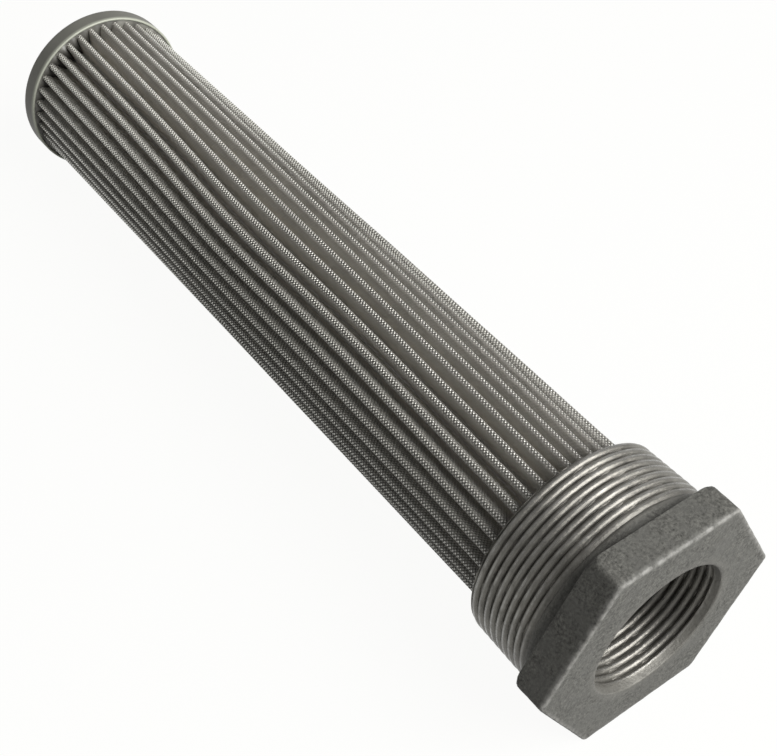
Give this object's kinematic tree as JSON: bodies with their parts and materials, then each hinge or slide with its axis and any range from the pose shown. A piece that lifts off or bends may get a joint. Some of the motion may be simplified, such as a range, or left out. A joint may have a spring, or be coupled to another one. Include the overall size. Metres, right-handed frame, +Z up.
{
  "type": "hydraulic suction filter",
  "caption": "In-tank suction strainer: a pleated wire cloth element with a closed end cap, potted into a hex reducing bushing with a male tank thread and a female port.",
  "frame": {"origin": "on the strainer's axis at the back face of the hex head, where the tank thread starts", "axes": "+X along the axis, out of the port; the element reaches towards -X; +Z up, across two hex flats, so one hex flat faces down"},
  "size_m": [0.2667, 0.0722, 0.063],
  "materials": {
    "cast_bushing": "bare malleable iron with worn bright thread crests",
    "wire_cloth": "plain-woven stainless wire",
    "clip_steel": "folded strip",
    "core_steel": "perforated sheet",
    "cap_steel": "dull drawn sheet",
    "potting": "cured epoxy"
  },
  "bodies": {
    "root": {"hex_bushing": "cast_bushing", "pleated_cloth": "wire_cloth", "seam_clip": "clip_steel", "core_tube": "core_steel", "end_cap": "cap_steel", "cap_potting": "potting", "bushing_potting": "potting"}
  },
  "joints": []
}
